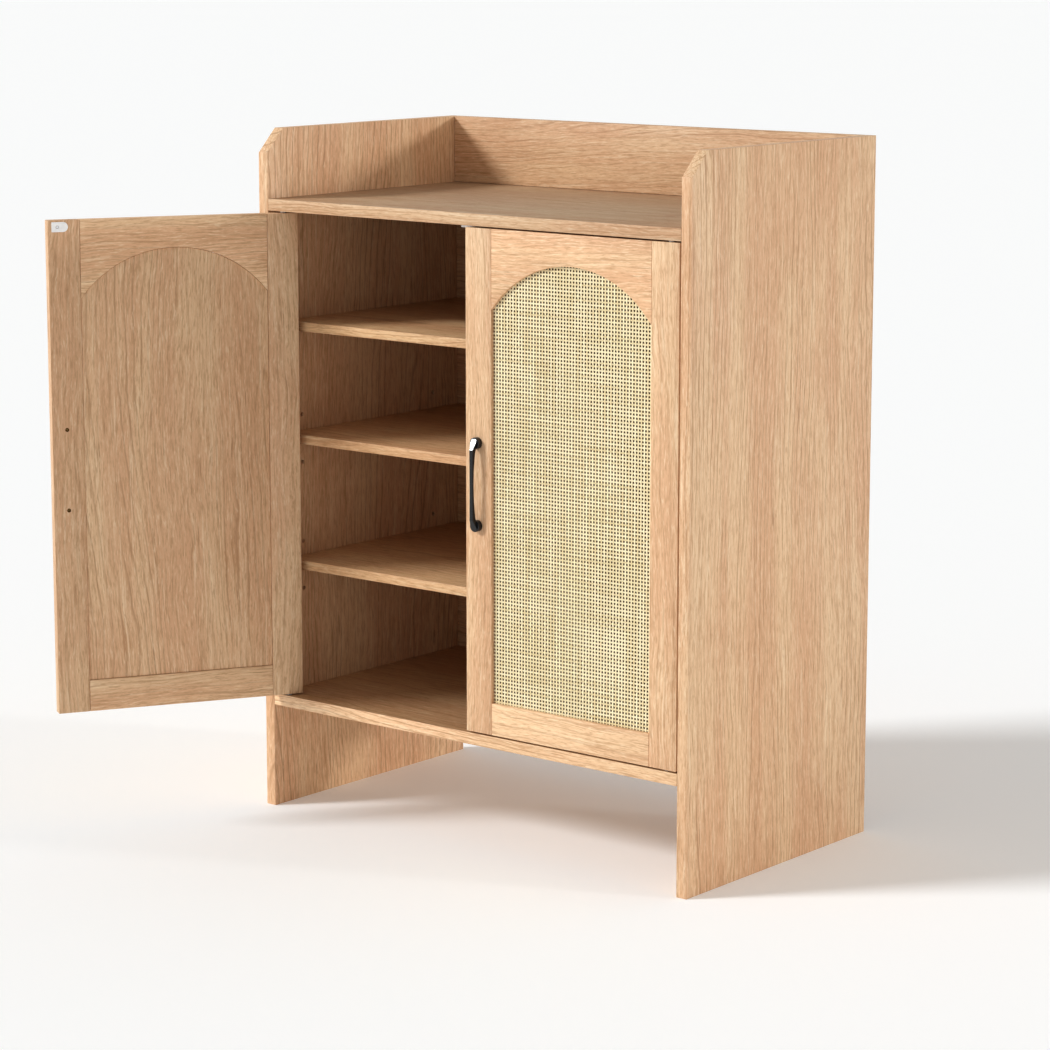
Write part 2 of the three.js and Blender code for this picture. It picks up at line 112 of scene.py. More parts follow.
def edit(obj):
    select_only(obj)
    bpy.ops.object.mode_set(mode="EDIT")
    bpy.ops.mesh.select_mode(type="VERT")


def leave():
    bpy.ops.object.mode_set(mode="OBJECT")


def pick(obj, faces=None, edges=None, verts=None):
    """Selects the faces, edges or vertices that a test accepts, in edit mode."""
    wanted = faces or edges or verts
    bpy.ops.mesh.select_mode(type="FACE" if faces else "EDGE" if edges else "VERT")
    bpy.ops.mesh.select_all(action="DESELECT")
    mesh = bmesh.from_edit_mesh(obj.data)
    parts = mesh.faces if faces else mesh.edges if edges else mesh.verts
    chosen = [part for part in parts if wanted(part)]
    for part in chosen:
        part.select = True
    mesh.select_flush_mode()
    bmesh.update_edit_mesh(obj.data)
    return len(chosen)


def settle(obj):
    """Moves an object's place, turn and scale into its mesh."""
    select_only(obj)
    bpy.ops.object.transform_apply(location=True, rotation=True, scale=True)


def copy_of(obj, name):
    twin = obj.copy()
    twin.data = obj.data.copy()
    twin.name = name
    bpy.context.scene.collection.objects.link(twin)
    return twin


def on_door(obj, side, along, depth, height):
    """Puts a piece modelled at the origin on a door: along runs from the pivot to the
    free edge, and depth from the door's middle to its back."""
    spot = Matrix.Rotation(door_turn[side], 4, "Z") @ Vector((towards_toe[side] * along, depth, 0))
    obj.location = (pivots[side].x + spot.x, pivots[side].y + spot.y, height)
    obj.rotation_euler = (0, 0, door_turn[side])
    settle(obj)


def dress(obj, material):
    obj.data.materials.clear()
    obj.data.materials.append(material)


# %% [markdown]
# ## Oak
# The boards carry a printed oak figure under a matt lacquer. Its parts, from large to
# small, are yellower and pinker bands along the board, growth lines that run nearly
# straight and now and then close into long arches, short dark lines, fine pale and dark
# fibres, pores, and faint orange knots. All of it is worked out from the place on the
# board, with every pattern stretched along the grain. The growth lines are the contour
# lines of one slowly changing height: a steady slope across the board gives straight
# lines, and a soft unevenness added to it bends them and closes some into arches.

# %% Node helpers
def new_material(name):
    material = bpy.data.materials.new(name)
    material.use_nodes = True
    tree = material.node_tree
    return material, tree, tree.nodes["Principled BSDF"]


def add(tree, kind, **settings):
    node = tree.nodes.new(kind)
    for key, value in settings.items():
        setattr(node, key, value)
    return node


def math_node(tree, operation, first, second=0.0, third=None):
    node = add(tree, "ShaderNodeMath", operation=operation)
    for socket, value in zip(node.inputs, (first, second, third)):
        if hasattr(value, "is_output"):
            tree.links.new(value, socket)
        elif value is not None:
            socket.default_value = value
    return node.outputs[0]


def scaled(tree, parts, factors):
    """A vector made of three values, each with its own scale."""
    join = add(tree, "ShaderNodeCombineXYZ")
    for socket, part, factor in zip(join.inputs, parts, factors):
        tree.links.new(math_node(tree, "MULTIPLY", part, factor), socket)
    return join.outputs[0]


def noise(tree, vector, detail=2.0, roughness=0.5):
    node = add(tree, "ShaderNodeTexNoise")
    node.inputs["Scale"].default_value = 1.0
    node.inputs["Detail"].default_value = detail
    node.inputs["Roughness"].default_value = roughness
    tree.links.new(vector, node.inputs["Vector"])
    return node.outputs[0]


def remap(tree, value, low, high, to_low=0.0, to_high=1.0):
    node = add(tree, "ShaderNodeMapRange", interpolation_type="SMOOTHSTEP")
    tree.links.new(value, node.inputs["Value"])
    limits = {"From Min": low, "From Max": high, "To Min": to_low, "To Max": to_high}
    for name, number in limits.items():
        node.inputs[name].default_value = number
    return node.outputs[0]


def blend_colours(tree, amount, first, second):
    """Mixes two colours; each is a socket or a plain (r, g, b)."""
    node = add(tree, "ShaderNodeMix", data_type="RGBA")
    sockets = (node.inputs["Factor"], node.inputs[6], node.inputs[7])
    for socket, value in zip(sockets, (amount, first, second)):
        if hasattr(value, "is_output"):
            tree.links.new(value, socket)
        else:
            socket.default_value = (*value, 1) if isinstance(value, tuple) else value
    return node.outputs[2]


def mapped_place(tree, setting, value):
    """The place on the piece, after the Mapping node has turned or scaled it."""
    place = add(tree, "ShaderNodeTexCoord").outputs["Object"]
    mapping = add(tree, "ShaderNodeMapping")
    mapping.inputs[setting].default_value = value
    tree.links.new(place, mapping.inputs["Vector"])
    return mapping.outputs[0]


def turned_axes(tree, turn):
    """X, Y and Z of the place on the piece, after a turn about Z."""
    axes = add(tree, "ShaderNodeSeparateXYZ")
    tree.links.new(mapped_place(tree, "Rotation", (0, 0, turn)), axes.inputs[0])
    return axes.outputs


# %% Oak: colours, patterns and layers
OAK_COLOURS = {
    "yellow": (0.79, 0.547, 0.335),
    "pink": (0.72, 0.445, 0.262),
    "pale": (0.92, 0.735, 0.51),
    "deep": (0.47, 0.265, 0.13),
    "line": (0.40, 0.205, 0.095),
    "knot": (0.50, 0.25, 0.11),
}
# Tone and warm_shade paint shade on some boards: a tone below 1 darkens a board, and warm_shade takes green and
# blue out, for the warm shade inside the cabinet.
TONED = ("yellow", "pink", "pale", "deep")   # these follow a board's tone and warmth
WARM_SHADE_CUT = (0.0, 0.05, 0.14)                     # taken out of red, green and blue

# Repeats per metre across the grain and along it, octaves, and roughness.
PATTERNS = {
    "wide": (4.0, 1.1, 1.0, 0.5),
    "tight": (26.0, 7.5, 2.0, 0.5),
    "uneven": (9.0, 1.3, 1.0, 0.5),
    "gathered": (30.0, 2.4, 2.0, 0.5),
    "band": (21.0, 1.1, 2.0, 0.6),
    "patch": (11.0, 4.0, 2.0, 0.6),
    "fibre": (310.0, 9.0, 4.0, 0.75),
    "pale fibre": (240.0, 6.0, 3.0, 0.7),
    "dash": (420.0, 17.0, 1.0, 0.5),
    "fleck": (600.0, 60.0, 2.0, 0.7),
    "pore": (1300.0, 130.0, 2.0, 0.5),
}
# A layer's pattern, the range of it that is used, its strength at both ends, its colour.
FIBRE_LAYERS = (
    ("pale fibre", (0.52, 0.74), (0.0, 0.6), "pale"),
    ("fibre", (0.48, 0.72), (0.0, 0.6), "deep"),
)
MARK_LAYERS = (
    ("dash", (0.66, 0.78), (0.0, 0.6), "line"),
    ("pore", (0.60, 0.75), (0.0, 0.35), "deep"),
)
FLECK_LAYERS = (
    ("fleck", (0.30, 0.46), (0.45, 0.0), "pale"),
    ("fleck", (0.52, 0.66), (0.0, 0.5), "deep"),
)


def patterned(tree, name, across, grain, through):
    """One of the patterns, stretched along the grain."""
    per_across, per_grain, octaves, roughness = PATTERNS[name]
    place = scaled(tree, (across, grain, through), (per_across, per_grain, per_across))
    return noise(tree, place, octaves, roughness)


# %% Oak: growth lines and knots
WIDE_WANDER = 0.070
TIGHT_WANDER = 0.013
LINES_PER_METRE = 120.0
THROUGH_SLOPE = 0.6
ARCHING = 10.0
LINE_PEAK = 0.10
LINE_END = 0.34
GATHERED_FROM, GATHERED_TO = 0.40, 0.60
LINE_FAINT, LINE_STRONG = 0.08, 0.65
KNOTS_PER_METRE = (9.0, 3.4, 2.0)
KNOT_EDGE, KNOT_CORE = 0.16, 0.03
KNOT_STRENGTH = 0.6


def growth_lines(tree, drift, wander, grain, through, arching, strength):
    """How much of a growth line shows: contour lines of a slope with soft unevenness."""
    slanted = math_node(tree, "MULTIPLY_ADD", through, THROUGH_SLOPE, wander)
    slope = math_node(tree, "MULTIPLY", slanted, LINES_PER_METRE)
    uneven = patterned(tree, "uneven", drift, grain, through)
    height = math_node(tree, "MULTIPLY_ADD", uneven, ARCHING * arching, slope)
    phase = math_node(tree, "FRACT", height)
    rise = remap(tree, phase, 0.0, LINE_PEAK)
    line = math_node(tree, "SUBTRACT", rise, remap(tree, phase, LINE_PEAK, LINE_END))
    gathered = patterned(tree, "gathered", drift, grain, through)
    shown = (LINE_FAINT * strength, LINE_STRONG * strength)
    amount = remap(tree, gathered, GATHERED_FROM, GATHERED_TO, *shown)
    return math_node(tree, "MULTIPLY", line, amount)


def knot_amount(tree, wander, grain, through, fibre):
    knots = add(tree, "ShaderNodeTexVoronoi")
    knots.inputs["Scale"].default_value = 1.0
    place = scaled(tree, (wander, grain, through), KNOTS_PER_METRE)
    tree.links.new(place, knots.inputs["Vector"])
    knot = remap(tree, knots.outputs["Distance"], KNOT_EDGE, KNOT_CORE)
    knot = math_node(tree, "MULTIPLY", knot, remap(tree, fibre, 0.35, 0.65))
    return math_node(tree, "MULTIPLY", knot, KNOT_STRENGTH)


# %% Oak: the finish
SEED_STEPS = {"grain": 3.1, "across": 0.37, "through": 1.7}   # metres between two boards
OAK_ROUGHNESS = (0.46, 0.58)


def oak(name, upright=True, turn=0.0, seed=0.0, tone=1.0, arching=1.0, lines=1.0, warm_shade=0.0):
    """An oak finish. Upright grain runs along Z; otherwise it runs along X, after the
    pattern is turned about Z. More arching bends the growth lines more, lines says how
    strongly they show, and warm_shade takes some green and blue out, as painted warm
    shade on boards deep in the cabinet."""
    material, tree, shader = new_material(name)
    x, y, z = turned_axes(tree, turn)
    grain = math_node(tree, "ADD", z if upright else x, seed * SEED_STEPS["grain"])
    across = math_node(tree, "ADD", x if upright else z, seed * SEED_STEPS["across"])
    through = math_node(tree, "ADD", y, seed * SEED_STEPS["through"])

    # The pattern wanders: widely over the whole board, and tightly here and there.
    wide = patterned(tree, "wide", across, grain, through)
    tight = patterned(tree, "tight", across, grain, through)
    drift = math_node(tree, "MULTIPLY_ADD", wide, WIDE_WANDER, across)
    wander = math_node(tree, "MULTIPLY_ADD", tight, TIGHT_WANDER, drift)
    found = {
        label: patterned(tree, label, wander, grain, through)
        for label in ("patch", "fibre", "pale fibre", "dash", "fleck", "pore")
    }
    shades = dict(OAK_COLOURS)
    for label in TONED:
        shades[label] = tuple(
            channel * tone * (1 - warm_shade * less)
            for channel, less in zip(OAK_COLOURS[label], WARM_SHADE_CUT)
        )

    def layered(colour, layers):
        for label, used, strengths, shade in layers:
            amount = remap(tree, found[label], *used, *strengths)
            colour = blend_colours(tree, amount, colour, shades[shade])
        return colour

    band = patterned(tree, "band", drift, grain, through)
    hue = math_node(tree, "MULTIPLY", band, 0.8)
    hue = math_node(tree, "MULTIPLY_ADD", found["patch"], 0.5, hue)
    colour = blend_colours(tree, remap(tree, hue, 0.50, 0.76), shades["yellow"], shades["pink"])
    colour = layered(colour, FIBRE_LAYERS)
    line = growth_lines(tree, drift, wander, grain, through, arching, lines)
    colour = blend_colours(tree, line, colour, shades["line"])
    colour = layered(colour, MARK_LAYERS)
    knot = knot_amount(tree, wander, grain, through, found["fibre"])
    colour = blend_colours(tree, knot, colour, shades["knot"])
    colour = layered(colour, FLECK_LAYERS)
    tree.links.new(colour, shader.inputs["Base Color"])
    roughness = remap(tree, found["fibre"], 0.3, 0.7, *OAK_ROUGHNESS)
    tree.links.new(roughness, shader.inputs["Roughness"])

    bump = add(tree, "ShaderNodeBump")
    bump.inputs["Strength"].default_value = 0.35
    bump.inputs["Distance"].default_value = 0.0002
    relief = math_node(tree, "MULTIPLY", found["pore"], 0.5)
    relief = math_node(tree, "ADD", found["fibre"], relief)
    tree.links.new(relief, bump.inputs["Height"])
    tree.links.new(bump.outputs[0], shader.inputs["Normal"])
    return material


# %% [markdown]
# ## Boards with eased edges
# A real foil-wrapped board has a tiny round along every edge, and that round is what
# catches the light. The plain solids are sharp, so each board is copied, its loose
# triangles are merged into clean faces, and only the long edges are bevelled. The rims
# of the drilled holes are short edges and stay crisp.

# %% Ease the long edges of a board
EASE = 0.0006
SHORTEST_EDGE = 0.003
SHARP = math.radians(40)
SMOOTH = math.radians(35)
COPLANAR = math.radians(0.5)
MERGE = 0.00002
slots = {part["node"]: part["material_slot"] for part in frame["record"]["subparts"]}


def eased(node, material, body, ease=EASE, shortest=SHORTEST_EDGE):
    piece = copy_of(frame["nodes"][node], f"{node}_eased")
    edit(piece)
    bpy.ops.mesh.customdata_custom_splitnormals_clear()
    bpy.ops.mesh.select_all(action="SELECT")
    bpy.ops.mesh.remove_doubles(threshold=MERGE)
    bpy.ops.mesh.dissolve_limited(angle_limit=COPLANAR)
    pick(piece, edges=lambda edge: (
        len(edge.link_faces) == 2
        and edge.calc_length() > shortest
        and edge.calc_face_angle() > SHARP
    ))
    bpy.ops.mesh.bevel(offset=ease, offset_type="OFFSET", segments=2, affect="EDGES")
    leave()
    bpy.ops.object.shade_smooth_by_angle(angle=SMOOTH)
    dress(piece, material)
    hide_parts(node)
    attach(piece, body)
    return piece


# %% Carcass boards
# Painted shade: the top board's low tone darkens it for the little light that falls on it from above, and the
# bottom board, back panel and shelves are darker and warmer, for the shade inside the compartments.
carcass_boards = {
    "side_panel_left": dict(upright=True, turn=math.pi / 2, seed=1.0, tone=1.04),
    "side_panel_right": dict(upright=True, turn=math.pi / 2, seed=2.0, tone=0.97),
    "back_rail": dict(upright=False, seed=3.0, tone=0.92),
    "back_panel": dict(upright=False, seed=4.0, tone=0.9, warm_shade=1.0),
    "top_board": dict(upright=False, seed=5.0, tone=0.66),
    "bottom_board": dict(upright=False, seed=6.0, tone=0.80, warm_shade=1.0),
    "shelf_upper": dict(upright=False, seed=7.0, tone=0.88, warm_shade=1.0),
    "shelf_middle": dict(upright=False, seed=8.0, tone=0.88, warm_shade=1.0),
    "shelf_lower": dict(upright=False, seed=9.0, tone=0.88, warm_shade=1.0),
}
for node, figure in carcass_boards.items():
    eased(node, oak(f"oak {node}", **figure), "carcass")
print("boards eased:", len(carcass_boards))

# %% [markdown]
# The front edges of the top and bottom boards get their own, paler finish: the rest of
# these boards is painted darker, as painted shade. It is a second finish, given to the
# faces that look forwards.

# %% Front edges, paler than the painted shade on the rest of the boards
front_edges_unshaded = {
    "top_board": dict(upright=False, seed=5.0, tone=0.86),
    "bottom_board": dict(upright=False, seed=6.0, tone=1.08),
}


def finish_faces(piece, material, towards):
    """Gives a second finish to the faces that look along a direction."""
    piece.data.materials.append(material)
    edit(piece)
    count = pick(piece, faces=lambda face: face.normal.dot(towards) > 0.9)
    piece.active_material_index = len(piece.data.materials) - 1
    bpy.ops.object.material_slot_assign()
    leave()
    return count


forwards = Vector((0, -1, 0))
for node, figure in front_edges_unshaded.items():
    banded = bpy.data.objects[f"{node}_eased"]
    count = finish_faces(banded, oak(f"oak {node} band", **figure), forwards)
    print(node, "banded faces:", count)

# %% [markdown]
# ## Door frames and rear panels
# Each door is two upright stiles and two rails, with a panel behind the cane. The grain
# runs along each member, so the rails' pattern is turned with the door that stands open.
# The front of the rear panel is painted near-black, as painted shade, so that it shows
# as small dark squares through the cane.

# %% Door members
member_figures = {
    "hinge_stile": dict(upright=True, tone=0.96, arching=0.8, lines=0.45),
    "lock_stile": dict(upright=True, tone=0.96, arching=0.8, lines=0.45),
    "top_rail": dict(upright=False, tone=1.06, arching=0.8, lines=0.6),
    "bottom_rail": dict(upright=False, tone=1.06, arching=0.6, lines=0.6),
    "rear_panel": dict(upright=True, arching=1.2, lines=0.8),
}
for side in SIDES:
    for number, (member, figure) in enumerate(member_figures.items()):
        node = f"door_{side}_{member}"
        seed = 11.0 + number + 7.0 * (side == "right")
        material = oak(f"oak {node}", turn=-door_turn[side], seed=seed, **figure)
        eased(node, material, f"door_{side}")
print("door members eased:", 2 * len(member_figures))

# %% Painted shade on the face behind the cane
# The near-black browns below are painted shade, for the dark holes deep in the weave.
PAINTED_HOLE_SHADE_GRAIN = (260, 260, 9)
PAINTED_HOLE_SHADE_COLOURS = ((0.095, 0.040, 0.009), (0.045, 0.018, 0.004))
painted_hole_shade, painted_hole_shade_tree, painted_hole_shade_shader = new_material("dark stain")
painted_hole_shade_grain = noise(painted_hole_shade_tree, mapped_place(painted_hole_shade_tree, "Scale", PAINTED_HOLE_SHADE_GRAIN), 3.0)
painted_hole_shade_colour = blend_colours(painted_hole_shade_tree, painted_hole_shade_grain, *PAINTED_HOLE_SHADE_COLOURS)
painted_hole_shade_tree.links.new(painted_hole_shade_colour, painted_hole_shade_shader.inputs["Base Color"])
painted_hole_shade_shader.inputs["Roughness"].default_value = 0.8
painted_hole_shade_shader.inputs["Specular IOR Level"].default_value = 0.1

# The painted shade goes on the faces that look out through the cane.
for side in SIDES:
    panel = bpy.data.objects[f"door_{side}_rear_panel_eased"]
    front = Matrix.Rotation(door_turn[side], 3, "Z") @ forwards
    print(f"{side} door: shade_painted faces", finish_faces(panel, painted_hole_shade, front))

# %% [markdown]
# ## Cane webbing
# The webbing is an open square weave of flat cane strands. One strand is modelled for
# the length of one over-and-under wave: a thin six-sided ring, extruded along in four
# steps that rise and fall. An array repeats the wave to the strand's length, and the ends
# are closed. Strands that cross the arch are shorter, and every strand runs a little way
# into the wood, as webbing pressed into a groove does. The upright and the level strands
# are two pieces, each well under the limit on triangles.

# %% One strand of cane
PITCH = 0.0045
STRAND_WIDTH = 0.0024
STRAND_THICK = 0.0005
STRAND_SIDES = 6
WAVE = 0.0003
WAVE_START = 0.2                                       # of the pitch, before a crossing
WAVE_STEPS = ((0.4, 0), (0.6, 1), (0.4, 0), (0.6, -1))   # of the pitch, and the rise


def strand(name, periods):
    """A cane strand along +X from the origin, waving in Y, with its width along Z."""
    bpy.ops.object.select_all(action="DESELECT")
    bpy.ops.mesh.primitive_circle_add(
        vertices=STRAND_SIDES, radius=0.5, rotation=(0, math.pi / 2, 0),
    )
    piece = bpy.context.object
    piece.name = name
    piece.scale = (STRAND_WIDTH, STRAND_THICK, 1)
    piece.location = (-WAVE_START * PITCH, -WAVE, 0)
    settle(piece)
    edit(piece)
    bpy.ops.mesh.select_all(action="SELECT")
    for share, rise in WAVE_STEPS:
        step = (share * PITCH, 2 * WAVE * rise, 0)
        bpy.ops.mesh.extrude_region_move(TRANSFORM_OT_translate={"value": step})
    leave()
    array = piece.modifiers.new("waves", "ARRAY")
    array.use_relative_offset = False
    array.use_constant_offset = True
    array.constant_offset_displace = (2 * PITCH, 0, 0)
    array.count = periods
    array.use_merge_vertices = True
    array.merge_threshold = MERGE
    bpy.ops.object.modifier_apply(modifier=array.name)
    edit(piece)
    bpy.ops.mesh.select_all(action="SELECT")
    bpy.ops.mesh.fill_holes(sides=STRAND_SIDES)
    bpy.ops.mesh.select_all(action="SELECT")
    bpy.ops.mesh.normals_make_consistent(inside=False)
    leave()
    return piece


print("strand faces per wave:", STRAND_SIDES * len(WAVE_STEPS))

# %% Weave the strands
INTO_WOOD = 0.003
STRAND_SMOOTH = math.radians(70)
rail_low, rail_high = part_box("door_right_bottom_rail")
arch_low, arch_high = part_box("door_right_top_rail")
cane_low, cane_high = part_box("door_right_cane_webbing")
opening_width = rail_high.x - rail_low.x
opening_bottom = rail_high.z
arch_top = cane_high.z
arch_rise = arch_top - arch_low.z
arch_radius = (opening_width ** 2 / 4 + arch_rise ** 2) / (2 * arch_rise)
columns = round(opening_width / PITCH)
rows = round((arch_top - opening_bottom) / PITCH)


def arch_height(sideways):
    """Height of the arch above the opening's bottom, this far from its middle."""
    return arch_top - arch_radius + math.sqrt(arch_radius ** 2 - sideways ** 2) - opening_bottom


def half_width(height):
    """Half the opening's width at a height above its bottom."""
    over = height - (arch_top - arch_radius - opening_bottom)
    if height <= arch_low.z - opening_bottom:
        return opening_width / 2
    return math.sqrt(max(arch_radius ** 2 - over ** 2, 0))


def weave(side):
    """Both sets of strands, in the opening's own frame: X across from its middle, Z up
    from its bottom."""
    strands = {}

    def laid(key, periods, turn_up, flipped, spot):
        if periods not in strands:
            strands[periods] = strand(f"strand_{periods}", periods)
        piece = copy_of(strands[periods], key)
        piece.rotation_euler = (math.pi if flipped else 0, -math.pi / 2 if turn_up else 0, 0)
        piece.location = spot
        settle(piece)
        return piece

    upright = []
    for column in range(columns):
        offset = (column - (columns - 1) / 2) * PITCH
        reach = arch_height(offset) + 2 * INTO_WOOD
        periods = math.ceil(reach / (2 * PITCH))
        upright.append(laid(
            f"warp_{column}", periods, True, column % 2 == 1, (offset, 0, -PITCH / 2),
        ))
    level = []
    for row in range(rows + 1):
        height = (row - 0.5) * PITCH
        span = half_width(height) + INTO_WOOD
        first = math.floor((columns - 1) / 2 - span / PITCH)
        first -= first % 2
        last = math.ceil((columns - 1) / 2 + span / PITCH)
        periods = math.ceil((last - first) / 2)
        start = (first - (columns - 1) / 2) * PITCH
        level.append(laid(f"weft_{row}", periods, False, row % 2 == 0, (start, 0, height)))
    for spare in strands.values():
        bpy.data.objects.remove(spare)
    pieces = []
    for label, group in (("upright", upright), ("level", level)):
        select_only(*group)
        bpy.ops.object.join()
        piece = bpy.context.object
        piece.name = f"door_{side}_cane_{label}"
        piece.data.name = piece.name
        bpy.ops.object.shade_smooth_by_angle(angle=STRAND_SMOOTH)
        pieces.append(piece)
    return pieces


cane_right = weave("right")
print("cane strands:", columns, "upright,", rows + 1, "level")
print("cane faces:", [len(piece.data.polygons) for piece in cane_right])

# %% [markdown]
# The finish of the cane is a pale, slightly shiny skin. Its tone shifts a little from
# strand to strand and along each one, with fine lines along the strand. The left door's
# webbing is a copy of the right one, so each copy is woven once and carried to its door.

# %% Cane finish
# Upright strands are painted lighter and level strands darker: painted light and shade that evens out how
# differently the light falls on the two sets.
CANE_PAINTED_LIGHT = {"upright": 1.04, "level": 0.96}
CANE_PALE = (0.93, 0.83, 0.58)
CANE_RIPE = (0.78, 0.64, 0.37)
CANE_LINE = (0.62, 0.46, 0.24)
CANE_TONE_SCALE = (9.0, 1 / PITCH, 1.0)
CANE_LINE_SCALE = (60.0, 3400.0, 3400.0)


def cane_finish(name, label, turn):
    material, tree, shader = new_material(name)
    x, y, z = turned_axes(tree, turn)
    along, across = (z, x) if label == "upright" else (x, z)
    tone = noise(tree, scaled(tree, (along, across, y), CANE_TONE_SCALE), 1.0)
    lines = noise(tree, scaled(tree, (along, across, y), CANE_LINE_SCALE), 2.0)
    pale, ripe = (
        tuple(channel * CANE_PAINTED_LIGHT[label] for channel in shade)
        for shade in (CANE_PALE, CANE_RIPE)
    )
    colour = blend_colours(tree, remap(tree, tone, 0.35, 0.68), pale, ripe)
    colour = blend_colours(tree, remap(tree, lines, 0.5, 0.75, 0.0, 0.4), colour, CANE_LINE)
    tree.links.new(colour, shader.inputs["Base Color"])
    shader.inputs["Roughness"].default_value = 0.5
    return material


cane_y = (cane_low.y + cane_high.y) / 2 - pivots["right"].y
arch_along = abs((cane_low.x + cane_high.x) / 2 - pivots["right"].x)
for source, label in zip(cane_right, ("upright", "level")):
    copies = {"right": source, "left": copy_of(source, f"door_left_cane_{label}")}
    for side, piece in copies.items():
        dress(piece, cane_finish(f"cane {label} {side}", label, -door_turn[side]))
        on_door(piece, side, arch_along, cane_y, opening_bottom)
        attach(piece, f"door_{side}")
        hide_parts(f"door_{side}_cane_webbing")

# %% [markdown]
# ## Bow handles
# The handle is one casting. At each end a short round foot stands on the door, and the
# bar's outside is cut back slantwise over it, which leaves a leaf-shaped facet that
# flashes in the light. Half of the bar is drawn by extruding a rectangle downwards, with
# a new width and depth at each stop, and a mirror makes the other half. Its long edges
# are bevelled, and the two feet are united with it.

# %% Sizes of the handle
MM = 0.001
handle_low, handle_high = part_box("door_right_handle")
foot_radius = (handle_high.x - handle_low.x) / 2
foot_level = (handle_high.z - handle_low.z) / 2 - foot_radius
handle_along = abs((handle_low.x + handle_high.x) / 2 - pivots["right"].x)
handle_depth = handle_high.y - pivots["right"].y
handle_height = (handle_low.z + handle_high.z) / 2
FOOT_HEIGHT = 6.6 * MM
FOOT_EDGE = 0.8 * MM
BAR_EDGE = 0.6 * MM
MIRROR_MERGE = 0.05 * MM
BAR_STOPS = (
    # height from the foot's middle, outside and inside from the door, width (mm);
    # down to the eighth stop the outside is one plane, leaning back 25 degrees
    (7.2, 5.80, 3.6, 2.4),
    (6.4, 6.17, 3.6, 5.6),
    (4.8, 6.92, 3.6, 8.2),
    (3.0, 7.76, 3.6, 9.4),
    (0.8, 8.78, 3.6, 9.2),
    (-1.8, 10.00, 4.0, 8.0),
    (-4.6, 11.30, 5.0, 6.6),
    (-7.8, 12.79, 6.4, 5.4),
    (-11.0, 12.80, 7.3, 5.2),
    (-20.0, 12.80, 8.4, 5.0),
    (-35.0, 12.80, 9.7, 4.8),
    (-51.0, 12.80, 10.1, 4.7),
)
print("handle feet apart:", round(2 * foot_level, 4), "at height:", round(handle_height, 4))


# %% Half of the bar
def half_bar():
    """The bar from above the upper foot down to the handle's middle: door plane at Y 0,
    outwards along -Y, up along Z."""
    bpy.ops.object.select_all(action="DESELECT")
    sections = [
        (Vector((0, -(outside + inside) / 2 * MM, foot_level + level * MM)),
         Vector((width * MM, (outside - inside) * MM, 1)))
        for level, outside, inside, width in BAR_STOPS
    ]
    centre, size = sections[0]
    bpy.ops.mesh.primitive_plane_add(size=1, location=centre)
    piece = bpy.context.object
    piece.scale = size
    settle(piece)
    edit(piece)
    bpy.ops.mesh.select_all(action="SELECT")
    for next_centre, next_size in sections[1:]:
        bpy.ops.mesh.extrude_region_move(
            TRANSFORM_OT_translate={"value": next_centre - centre},
        )
        bpy.ops.transform.resize(
            value=(next_size.x / size.x, next_size.y / size.y, 1), center_override=next_centre,
        )
        centre, size = next_centre, next_size
    bpy.ops.mesh.delete(type="FACE")
    leave()
    return piece


# %% Feet, and the whole handle
def foot_at(level):
    bpy.ops.object.select_all(action="DESELECT")
    bpy.ops.mesh.primitive_cylinder_add(
        vertices=48, radius=foot_radius, depth=FOOT_HEIGHT,
        location=(0, -FOOT_HEIGHT / 2, level), rotation=(math.pi / 2, 0, 0),
    )
    foot = bpy.context.object
    settle(foot)
    edit(foot)
    pick(foot, edges=lambda edge: all(vert.co.y < -FOOT_HEIGHT * 0.9 for vert in edge.verts))
    bpy.ops.mesh.bevel(offset=FOOT_EDGE, segments=3, affect="EDGES")
    leave()
    return foot


def unite(piece, other):
    join = piece.modifiers.new("unite", "BOOLEAN")
    join.operation = "UNION"
    join.object = other
    select_only(piece)
    bpy.ops.object.modifier_apply(modifier=join.name)
    bpy.data.objects.remove(other)


def make_handle(name):
    piece = half_bar()
    piece.name = name
    mirror = piece.modifiers.new("other half", "MIRROR")
    mirror.use_axis = (False, False, True)
    mirror.merge_threshold = MIRROR_MERGE
    bpy.ops.object.modifier_apply(modifier=mirror.name)
    edit(piece)
    bpy.ops.mesh.select_all(action="SELECT")
    bpy.ops.mesh.normals_make_consistent(inside=False)
    pick(piece, edges=lambda edge: (
        len(edge.link_faces) == 2 and edge.calc_face_angle() > SHARP
    ))
    bpy.ops.mesh.bevel(offset=BAR_EDGE, segments=4, affect="EDGES")
    leave()
    for level in (foot_level, -foot_level):
        unite(piece, foot_at(level))
    bpy.ops.object.shade_smooth_by_angle(angle=math.radians(20))
    flat = piece.modifiers.new("flat faces", "WEIGHTED_NORMAL")
    flat.keep_sharp = True
    bpy.ops.object.modifier_apply(modifier=flat.name)
    return piece


# %% Gloss black enamel
ENAMEL_GRAIN = (900, 900, 900)
ENAMEL_COLOURS = ((0.007, 0.007, 0.008), (0.013, 0.013, 0.015))
enamel, enamel_tree, enamel_shader = new_material("black enamel")
orange_peel = noise(enamel_tree, mapped_place(enamel_tree, "Scale", ENAMEL_GRAIN), 2.0)
enamel_colour = blend_colours(enamel_tree, orange_peel, *ENAMEL_COLOURS)
enamel_tree.links.new(enamel_colour, enamel_shader.inputs["Base Color"])
enamel_gloss = remap(enamel_tree, orange_peel, 0.3, 0.7, 0.12, 0.20)
enamel_tree.links.new(enamel_gloss, enamel_shader.inputs["Roughness"])
enamel_bump = add(enamel_tree, "ShaderNodeBump")
enamel_bump.inputs["Strength"].default_value = 0.15
enamel_bump.inputs["Distance"].default_value = 0.00005
enamel_tree.links.new(orange_peel, enamel_bump.inputs["Height"])
enamel_tree.links.new(enamel_bump.outputs[0], enamel_shader.inputs["Normal"])

